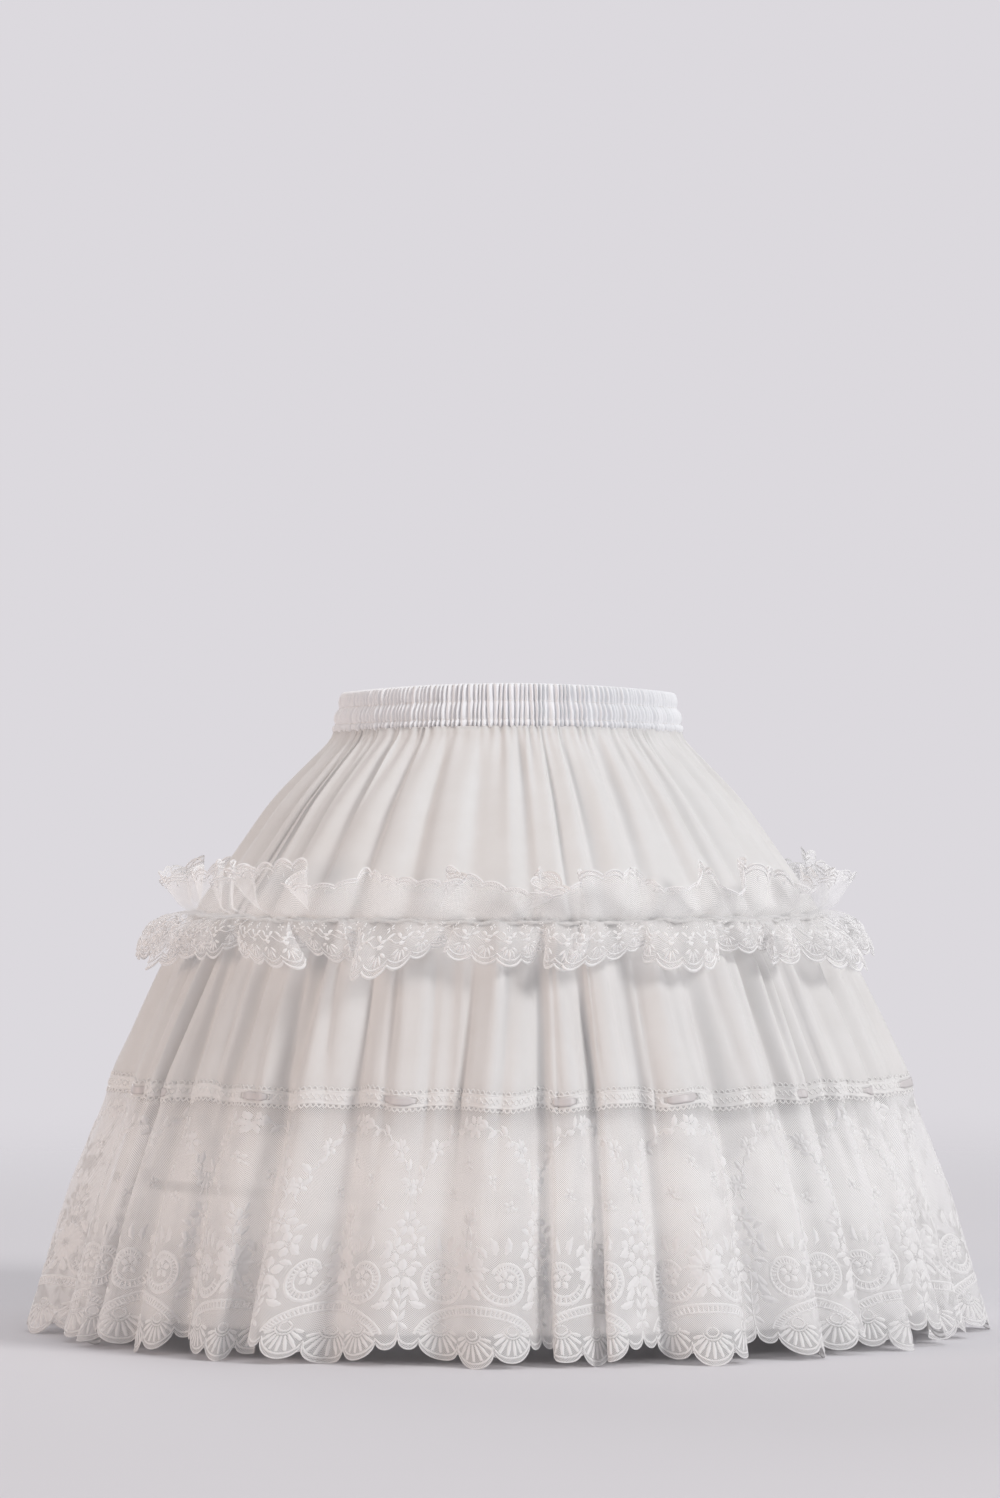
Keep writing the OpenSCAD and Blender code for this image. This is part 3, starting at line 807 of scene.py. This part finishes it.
def make_ruffle_seam():
    """The bound seam between the frills: gathered layers rolled together behind the frills' roots. Its grey
    tape is a painted shadow line between the frills.
    """
    low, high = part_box("ruffle_seam")
    section, columns = 8, 1080
    inner_r = np.hypot(*points_of("ruffle_seam")[:, :2].T).min()
    outer_r = ring("lower_frill", SEAM_LOW)[0] - 2.4 * MM
    round_it = TAU * np.arange(section + 1) / section
    a, turn = np.meshgrid(round_it, TAU * np.arange(columns) / columns, indexing="ij")
    ribs = 0.5 * MM * ripple(turn, 0, (187, 211, 229), 1, 91)
    r = (inner_r + outer_r) / 2 + ((outer_r - inner_r) / 2 + ribs) * np.cos(a)
    z = (low.z + high.z) / 2 - 0.7 * MM + seam_wander(turn) + ((high.z - low.z) / 3 + ribs * 0.5) * np.sin(a)
    points = round_points(turn, r, r, z)
    quads = grid_quads(section + 1, columns)[:, ::-1] % (section * columns)
    uv = grid_uv(*cloth_lengths(points))[:, ::-1]
    # The binding's grey is a painted shadow line between the frills.
    piece = new_piece("ruffle_seam_binding", points[:section].reshape(-1, 3), quads, casing_tape, uv)
    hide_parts("ruffle_seam")


# Frills

FRILL_SCALLOPS = 168
# Share of a frill's width at which its length is measured
FRILL_MEASURED_AT = 0.85


def frill_lengths(surface):
    """Wave numbers along a frill near its edge, and the cloth's length up to each."""
    u = np.linspace(0, FRILL_WAVES, FRILL_WAVES * FINE_STEPS + 1)
    return u, run_length(surface(u, np.full_like(u, FRILL_MEASURED_AT)))


def make_frill(name, surface, width, rises):
    """A net frill with stitched scallops: an open net where it rises, worked with leaves where it hangs."""
    u_line, along = frill_lengths(surface)
    length = along[-1]
    pitch = length / FRILL_SCALLOPS
    depth = 3.0 * MM / width

    def edge(s):
        """Share of the width at which the scalloped edge lies."""
        return 1 + depth * (np.abs(np.sin(np.pi * s / pitch)) ** 0.8 - 0.6)

    u = np.arange(FRILL_WAVES * WAVE_COLUMNS) / WAVE_COLUMNS
    u_grid, t = np.meshgrid(u, np.linspace(0, 1, FRILL_ROWS))
    t = t * edge(np.interp(u_grid, u_line, along))
    points = surface(u_grid, t)
    density = 0.62 + 0.38 * smooth(t, 0.2, 0.6)
    if rises:
        points, t = points[::-1], t[::-1]
        density = 0.3 * (1 - smooth(t, 0.0, 0.6)) + 0.45 * smooth(t, 0.6, 1.02)
    net = net_piece(name + "_net", points, frill_net, density)
    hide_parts(name)

    def place(line):
        uu = np.interp(np.mod(line[..., 0], length), along, u_line)
        tt = line[..., 1] / width
        return surface(uu, tt), normals(surface, uu, tt, 0.01, 0.01) * (1 if rises else -1)

    stitching = Embroidery(place)
    s = np.linspace(0, length, FRILL_SCALLOPS * 10, endpoint=False)
    for inset, thick in ((0.0, 1.2), (2.6 * MM, 0.8)):
        stitching.stroke(np.stack([s, width * edge(s) - inset], axis=-1), thick * MM, 0.6 * MM, closed=True)
    centres = (np.arange(FRILL_SCALLOPS) + 0.5) * pitch
    reach = width * edge(pitch / 2) - 2.6 * MM
    if rises:
        shapes = [petal((0, reach - 3.4 * MM), -90, 2.6 * MM, 1.5 * MM, n=SMALL_LEAF_POINTS)]
    else:
        vine = reach - 12 * MM
        line = np.stack([s, vine + 1.6 * MM * np.sin(TAU * s / pitch)], axis=-1)
        stitching.stroke(line, 0.8 * MM, 0.4 * MM, closed=True)
        shapes = []
        for angle in np.linspace(25, 155, 5):
            foot = aside((0, reach - 7.5 * MM), 2.0 * MM, angle)
            shapes.append(petal(foot, angle, 5.2 * MM, 1.7 * MM))
        for side in (-1, 1):
            foot = (side * 3.0 * MM, vine - side * 1.5 * MM)
            shapes.append(petal(foot, 90 + side * 60, 5.5 * MM, 2.4 * MM, side * 0.5))
            foot = (side * 2.5 * MM, vine - 1.5 * MM)
            shapes.append(petal(foot, -90 + side * 35, 6.5 * MM, 2.4 * MM, side * 0.4))
        for angle in range(0, 360, 90):
            foot = aside((0, vine - 9 * MM), 0.7 * MM, angle)
            shapes.append(petal(foot, angle, 2.8 * MM, 1.7 * MM, n=SMALL_LEAF_POINTS))
    for shape in shapes:
        stitching.stamp(shape, centres)
    threads = stitching.finish(name + "_stitching", frill_thread)


# Beading and ribbon

WINDOW_FOLDS = np.arange(0, LOWER_FOLDS, 2) + 0.5
WINDOW_HALF = 0.17


def bead_wander(turn):
    """How far the beading rises and falls round the skirt."""
    return 1.5 * MM * ripple(turn, 0, (11, 18, 29, 41, 55), 1, 93)


def beading_run(u, z):
    """The skirt's surface, shifted up and down with the beading."""
    return skirt(u, z + bead_wander(TAU * np.asarray(u) / LOWER_FOLDS))


def off_beading(u, z, distance):
    """The beading's surface, set off along its normals."""
    return beading_run(u, z) + np.asarray(distance)[..., None] * normals(beading_run, u, z)


def window_share(u):
    """1 in the middle of an opening of the beading, 0 outside all of them."""
    half = LOWER_FOLDS / 2
    away = (np.asarray(u)[..., None] - WINDOW_FOLDS + half) % LOWER_FOLDS - half
    return np.clip(1 - (np.min(np.abs(away), axis=-1) / WINDOW_HALF) ** 2, 0, 1)


def make_beading():
    u = np.arange(LOWER_FOLDS * FOLD_COLUMNS) / FOLD_COLUMNS
    middle = (BEAD_LOW + BEAD_HIGH) / 2
    low, high = middle - 2 * MM, middle + 2 * MM
    z = [BEAD_HIGH, BEAD_HIGH - 1.5 * MM, high, middle, low, BEAD_LOW + 1.5 * MM, BEAD_LOW]
    u_grid, z_grid = np.meshgrid(u, z)
    mask = np.ones((len(z) - 1, len(u)), bool)
    mask[2:4] = window_share(u + 0.5 / FOLD_COLUMNS)[None] == 0
    outer, inner = (off_beading(u_grid, z_grid, d * MM) for d in (0.4, 0.1))
    trim, length, width = shell("beading_trim", outer, inner, trim_thread, mask)
    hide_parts("beading")

    fine = np.linspace(0, LOWER_FOLDS, LOWER_FOLDS * BEAD_STEPS + 1)
    along = run_length(skirt(fine, np.full_like(fine, BEAD_LOW)))

    def place(line):
        uu = np.interp(np.mod(line[..., 0], along[-1]), along, fine)
        return off_beading(uu, line[..., 1], 0.25 * MM), normals(beading_run, uu, line[..., 1])

    picots = Embroidery(place)
    pitch = along[-1] / round(along[-1] / (4.2 * MM))
    centres = np.arange(round(along[-1] / pitch)) * pitch
    for edge, way in ((BEAD_HIGH, 1), (BEAD_LOW, -1)):
        loop = arc((0, edge - way * 0.6 * MM), (1.9 * MM, way * 2.9 * MM), 0, 180, 5)
        picots.stamp((loop, 1.2 * MM), centres, 0.25 * MM)
        s = np.linspace(0, along[-1], RIM_POINTS, endpoint=False)
        rim = np.stack([s, np.full_like(s, edge - way * 0.8 * MM)], axis=-1)
        picots.stroke(rim, 1.3 * MM, 0.3 * MM, closed=True)
        between = centres[window_share(np.interp(centres, along, fine)) == 0]
        bar = np.array([(-1.6, -2.0 * way), (0, 0), (1.6, 2.0 * way)]) * MM + (0, middle)
        picots.stamp((bar, 1.1 * MM), between, 0.5 * MM)
    loops = picots.finish("beading_picots", trim_thread)

    u_grid, z_grid = np.meshgrid(u, np.linspace(RIBBON_HIGH, RIBBON_LOW, 5))
    window = window_share(u_grid)
    lift = -1.3 * MM + 2.5 * MM * smooth(window, 0.0, 0.5)
    across = (z_grid - RIBBON_LOW) / (RIBBON_HIGH - RIBBON_LOW) - 0.5
    narrowed = (window > 0) * (1 - smooth(window, 0.4, 0.7))
    height = (RIBBON_HIGH - RIBBON_LOW) * (1 - narrowed) + (high - low - 0.4 * MM) * narrowed
    z_grid = middle + across * height
    outer, inner = (off_beading(u_grid, z_grid, lift - d * MM) for d in (0, 0.35))
    ribbon = shell("satin_ribbon", outer, inner, ribbon_satin)[0]
    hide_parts("ribbon")
    max(width, 10 * MM)


# Lace flounce

# Height above the floor at which the lace's length is measured
LACE_MEASURED_AT = 0.05
fine_u = np.linspace(0, LOWER_FOLDS, LOWER_FOLDS * FINE_STEPS + 1)
hem_along = run_length(skirt(fine_u, np.full_like(fine_u, LACE_MEASURED_AT)))
LACE_LENGTH = hem_along[-1]
REPEAT = LACE_LENGTH / SCALLOPS
# The lace is drawn on a repeat of this width, in millimetres, and fitted to the real one
DRAWN = 110.0
# Feet of the hem's lobes and the depth of each lobe between them, in drawn millimetres
LOBE_X = np.array([-55.0, -42.0, -14.0, 14.0, 42.0, 55.0])
LOBE_Y = np.array([20.0, 18.0, 13.5, 13.5, 18.0, 20.0])
LOBE_DEPTH = np.array([7.0, 11.5, 13.5, 11.5, 7.0])


def hem_height(x):
    """Height of the hem above the floor, at a place across the repeat in drawn millimetres."""
    x = np.mod(x + DRAWN / 2, DRAWN) - DRAWN / 2
    k = np.clip(np.searchsorted(LOBE_X, x, side="right") - 1, 0, len(LOBE_DEPTH) - 1)
    t = (x - LOBE_X[k]) / (LOBE_X[k + 1] - LOBE_X[k])
    base = LOBE_Y[k] + t * (LOBE_Y[k + 1] - LOBE_Y[k])
    return base - LOBE_DEPTH[k] * np.sqrt(np.clip(1 - (2 * t - 1) ** 2, 0, 1))


def lace_place(line):
    """Places drawn points, whose first number is metres along the lace and second metres above the floor."""
    u = np.interp(np.mod(line[..., 0], LACE_LENGTH), hem_along, fine_u)
    return skirt(u, line[..., 1]), normals(skirt, u, line[..., 1])


def flower(x, y, size, petals, turn, width):
    """Petals round a small ring, as (line, widths) in drawn millimetres."""
    shapes = []
    for angle in turn + np.arange(petals) * 360 / petals:
        shapes.append(petal(aside((x, y), 0.26 * size, angle), angle, 0.76 * size, width))
    shapes.append((arc((x, y), 0.2 * size, 0, 330, 6), 0.9))
    return shapes


def ladder(line, other, width):
    """Short bars between two lines drawn with the same number of points."""
    return [(np.stack([line[k], other[k]]), width) for k in range(1, len(line) - 1)]


def heading_at(line, k):
    """Direction of a line at its point k, in degrees."""
    return math.degrees(math.atan2(*(line[k + 1] - line[k - 1])[::-1]))


def spray(foot, angle, length, pairs, leaf_length, bend):
    """A curved stem with pairs of leaves and a bud."""
    stem = leaf(foot, angle, length, bend, 9)
    shapes = [(stem, 0.9)]
    for k in np.linspace(2, 6, pairs).astype(int):
        for side in (-1, 1):
            way = heading_at(stem, k) + side * 48
            shapes.append(petal(stem[k], way, leaf_length, 0.42 * leaf_length, -side * 0.3))
    shapes.append(petal(stem[-1], angle + math.degrees(bend), 0.9 * leaf_length, 0.5 * leaf_length))
    return shapes


def mirrored(shapes):
    return shapes + [(line * np.array([-1, 1]), width) for line, width in shapes]


def shell_fan(x, y, lobe):
    """A fan of bars that spread from an eyelet to one lobe of the hem."""
    shapes = [(arc((x, y), (4.0, 3.2), 90, 440, 11), 1.3), (arc((x, y), (6.4, 5.4), 185, 355, 9), 1.0)]
    for angle in np.linspace(198, 342, 9):
        way = np.array(aside((0, 0), 1, angle))

        def ends(r):
            """Whether a bar this long meets the edge of the lobe."""
            return y + r * way[1] < hem_height(x + r * way[0]) + 5.2 or abs(r * way[0]) > lobe / 2 - 1.2

        reach = next(r for r in np.arange(6.5, 40, 0.25) if ends(r))
        if reach > 8.5:
            bar = np.stack([(x, y) + way * r for r in np.linspace(6.6, reach, 3)])
            shapes.append((bar, np.array([1.2, 2.6, 2.0])))
    return shapes


def lace_repeat():
    """One repeat of the flounce: shell fans on the hem, scrolls, flowers and a leafy arch."""
    shapes = shell_fan(0, 23, 28) + shell_fan(-28, 26, 28) + shell_fan(28, 26, 28)
    x = np.linspace(-DRAWN / 2, DRAWN / 2, 76)
    for rise, width in ((0.3, 0.9), (3.6, 1.3)):
        shapes.append((np.stack([x, hem_height(x) + rise], axis=-1), width))
    over, under = arc((0, 19), (45, 23), 172, 8, 38), arc((0, 19), (40, 17.5), 172, 8, 38)
    shapes += [(over, 2.2), (under, 1.5)] + ladder(over, under, 1.4)
    coils = [np.linspace(start, end, 25)[:, None] for start, end in ((19, 9), (13.5, 5))]
    outer, inner = (arc((26, 60), coil, -165, 150, 25) for coil in coils)
    scroll = [(outer, 2.6), (inner, 1.8)] + ladder(outer, inner, 1.5)
    side = flower(26, 60, 7.0, 5, 20, 4.6)
    side += [petal((43, 52), 25, 9, 5.5, 0.5), petal((42, 45), 30, 12, 6.0, 0.5)]
    side += [petal((37, 41), 0, 12, 5.5, 0.3), petal((38, 75), 20, 11, 5.0, 0.5)]
    side += [petal((8, 47), 150, 10, 5.6, -0.4), petal((20, 77), 70, 12, 5.8, 0.6)]
    side += [petal((27, 77.5), 45, 12, 5.4, 0.6), petal((14, 75), 105, 11, 5.2, 0.5)]
    shapes += mirrored(scroll + side)
    shapes += flower(0, 67, 13.5, 6, 30, 8.6) + flower(0, 67, 15.5, 6, 0, 5.0) + flower(0, 67, 6.5, 6, 0, 3.4)
    shapes += spray((1.5, 81), 74, 22, 2, 8.0, 0.5) + spray((-1.5, 81), 106, 22, 2, 8.0, -0.5)
    shapes += spray((55, 24), 93, 30, 3, 8.5, -0.1) + flower(55, 63, 10.5, 5, 18, 7.4)
    shapes += flower(47, 80, 9, 5, 0, 6.2) + flower(63, 82, 9, 5, 40, 6.2) + flower(55, 98, 9.5, 6, 0, 5.8)
    shapes += [petal((49, 70), 170, 9, 4.0, 0.4), petal((61, 70), 10, 9, 4.0, -0.4)]
    shapes += [petal((47, 90), 130, 9, 4.0, 0.4), petal((63, 91), 50, 9, 4.0, -0.4)]
    shapes += [petal((49, 26), 40, 7, 3.4), petal((61, 26), 140, 7, 3.4)]
    arch = arc((0, 108), (53, 57), 3, 177, 61)
    scalloped = arc((0, 108), (51, 55), 3, 177, 81)
    bumps = 2.2 * np.abs(np.sin(np.pi * np.arange(81) / 4))[:, None]
    shapes.append((scalloped + bumps * (scalloped - (0, 108)) / (51, 55), 1.5))
    for k in range(2, 59, 3):
        way = heading_at(arch, k) + (42 if k % 2 else -42) + (0 if k < 30 else 180)
        shapes.append(petal(arch[k], way, 8.5, 4.6, 0.3))
    shapes += flower(0, 164, 8.5, 6, 0, 5.2)
    shapes += mirrored(flower(38, 148, 7.0, 5, 0, 4.8) + flower(52, 122, 6.0, 5, 0, 4.2))
    for x, y, turn in ((-20, 118, 25), (17, 128, -40), (-4, 140, 10), (30, 110, 60)):
        shapes += flower(x, y, 4.4, 4, turn, 3.2)
        shapes += [petal((x + 2, y - 3), turn - 60, 5, 2.2, 0.4)]
    return shapes


def lace_density(x, y):
    """How close the net is worked, 0 to 1: full in the fans, part way round the flowers."""
    x = np.mod(x + DRAWN / 2, DRAWN) - DRAWN / 2
    fan = smooth(-np.hypot(x / 46, (y - 14) / 27), -1.05, -0.8)
    scroll = np.hypot(np.abs(x) - 26, y - 60)
    scrolls = 0.9 * smooth(-np.abs(scroll - 13), -8, -4)
    flowers = 0.5 * smooth(-np.hypot(x / 48, (y - 58) / 26), -1.1, -0.6)
    joint = 0.6 * smooth(-np.hypot((np.abs(x) - 55) / 12, (y - 60) / 50), -1.1, -0.6)
    edge = smooth(-(y - hem_height(x)), -6.0, -3.5)
    above = 0.75 * smooth(np.hypot(x / 52, (y - 108) / 56), 0.98, 1.04) * smooth(y, 100, 125)
    return np.max([fan, scrolls, flowers, joint, edge, above], axis=0)


def make_flounce():
    columns = LOWER_FOLDS * FLOUNCE_COLUMNS
    s = np.arange(columns) / columns * LACE_LENGTH
    u = np.interp(s, hem_along, fine_u)
    x = (s / REPEAT - np.floor(s / REPEAT) - 0.5) * DRAWN
    u_grid, t = np.meshgrid(u, np.linspace(0, 1, FLOUNCE_ROWS))
    z = (BEAD_LOW + 3 * MM) * (1 - t) + hem_height(x) * MM * t
    points = skirt(u_grid, z)
    density = lace_density(np.broadcast_to(x, z.shape), z / MM)
    net = net_piece("lace_flounce_net", points, flounce_net, density)
    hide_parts("lace_flounce")
    stitching = Embroidery(lace_place)
    centres = (np.arange(SCALLOPS) + 0.5) * REPEAT
    fit = np.array([REPEAT / DRAWN, MM])
    for line, width in lace_repeat():
        stitching.stamp((line * fit, width * MM), centres, 0.3 * MM)
    threads = stitching.finish("lace_flounce_embroidery", lace_thread)
    width = cloth_lengths(points)[1][-1].mean()


make_waistband()
for elastic in ("upper_waist_elastic", "lower_waist_elastic"):
    make_elastic(elastic)
make_tiers()
make_lining()
for hoop in HOOPS:
    make_casing(hoop)
make_ruffle_seam()
make_frill("upper_frill", upper_frill, upper_frill_width, True)
make_frill("lower_frill", lower_frill, lower_frill_width, False)
make_beading()
make_flounce()

for name, finish in [(h, hoop_steel) for h in HOOPS] + [(h + "_sleeve", sleeve_steel) for h in HOOPS]:
    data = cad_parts[name].data
    data.materials.clear()
    data.materials.append(finish)


# Stage, light and camera

# The photo's frame, and the skirt's place in it
IMAGE_WIDTH, IMAGE_HEIGHT = 1000, 1498
METRES_PER_PIXEL = 0.74 * MM
AXIS_PIXEL = 508
CAMERA_DISTANCE = 5.0
CAMERA_HEIGHT = 0.427
FLOOR = (0.69, 0.675, 0.70)
BACKDROP = (0.715, 0.694, 0.730)


def make_stage():
    """A plain floor that keeps the shadow near the skirt and fades outwards into the plain backdrop."""
    sides, reach = 96, 6.0
    points = [(*aside((0, 0), reach, 360 * k / sides), 0.0) for k in range(sides)]
    m, tree = new_material("studio_paper")
    distance = node(tree, "VectorMath", {0: object_place(tree)}, operation="LENGTH").outputs["Value"]
    fade = ranged(tree, distance, 0.7, 3.2, 0.0, 1.0)
    looks = {"Base Color": (*FLOOR, 1), "Roughness": 0.95, "Specular IOR Level": 0.05}
    paper = node(tree, "BsdfPrincipled", looks)
    mix = node(tree, "MixShader", {"Fac": fade, 1: paper, 2: node(tree, "BsdfTransparent")})
    node(tree, "OutputMaterial", {"Surface": mix})
    mesh = bpy.data.meshes.new("studio_floor")
    mesh.from_pydata(points, [], [tuple(range(sides))])
    mesh.materials.append(m)
    floor = bpy.data.objects.new("studio_floor", mesh)
    bpy.context.scene.collection.objects.link(floor)


def add_light(name, place, target, size, power, colour):
    data = bpy.data.lights.new(name, "AREA")
    data.shape, data.size, data.energy, data.color = "DISK", size, power, colour
    lamp = bpy.data.objects.new(name, data)
    bpy.context.scene.collection.objects.link(lamp)
    lamp.location = place
    way = np.array(target) - np.array(place)
    tilt = math.acos(-way[2] / np.linalg.norm(way))
    lamp.rotation_euler = (tilt, 0, math.atan2(way[1], way[0]) - math.pi / 2)


def make_world():
    """Soft light from all round, behind which the camera sees the plain backdrop."""
    world = bpy.data.worlds.new("studio")
    world.use_nodes = True
    tree = world.node_tree
    tree.nodes.clear()
    ambient = node(tree, "Background", {"Color": (0.97, 0.97, 1.0, 1), "Strength": 0.38})
    backdrop = node(tree, "Background", {"Color": (*BACKDROP, 1), "Strength": 1.0})
    path = node(tree, "LightPath")
    seen = path.outputs["Is Camera Ray"]
    for kind in ("Is Glossy Ray", "Is Transmission Ray"):
        seen = maths(tree, "MAXIMUM", seen, path.outputs[kind])
    mix = node(tree, "MixShader", {"Fac": seen, 1: ambient, 2: backdrop})
    node(tree, "OutputWorld", {"Surface": mix})
    bpy.context.scene.world = world


def make_lights():
    add_light("key", (4.5, -3.1, 3.1), (0, 0, 0.2), 2.0, 200, (1.0, 0.985, 0.975))
    add_light("fill", (-4.6, -2.9, 0.9), (0, 0, 0.1), 2.8, 101, (1.0, 0.79, 0.665))
    add_light("top", (0.4, 0.2, 3.4), (0, 0, 0.3), 2.4, 24, (0.97, 0.98, 1.0))
    add_light("back", (-1.6, 4.8, 2.4), (0, 0, 0.2), 3.0, 70, (0.99, 0.98, 1.0))


def make_camera():
    data = bpy.data.cameras.new("camera")
    data.sensor_fit = "VERTICAL"
    data.sensor_height = 36.0
    data.lens = data.sensor_height * CAMERA_DISTANCE / (IMAGE_HEIGHT * METRES_PER_PIXEL)
    camera = bpy.data.objects.new("camera", data)
    bpy.context.scene.collection.objects.link(camera)
    camera.location = ((IMAGE_WIDTH / 2 - AXIS_PIXEL) * METRES_PER_PIXEL, -CAMERA_DISTANCE, CAMERA_HEIGHT)
    camera.rotation_euler = (math.pi / 2, 0, 0)
    bpy.context.scene.camera = camera


make_stage()
make_world()
make_lights()
make_camera()
bpy.context.scene.view_settings.view_transform = "Standard"
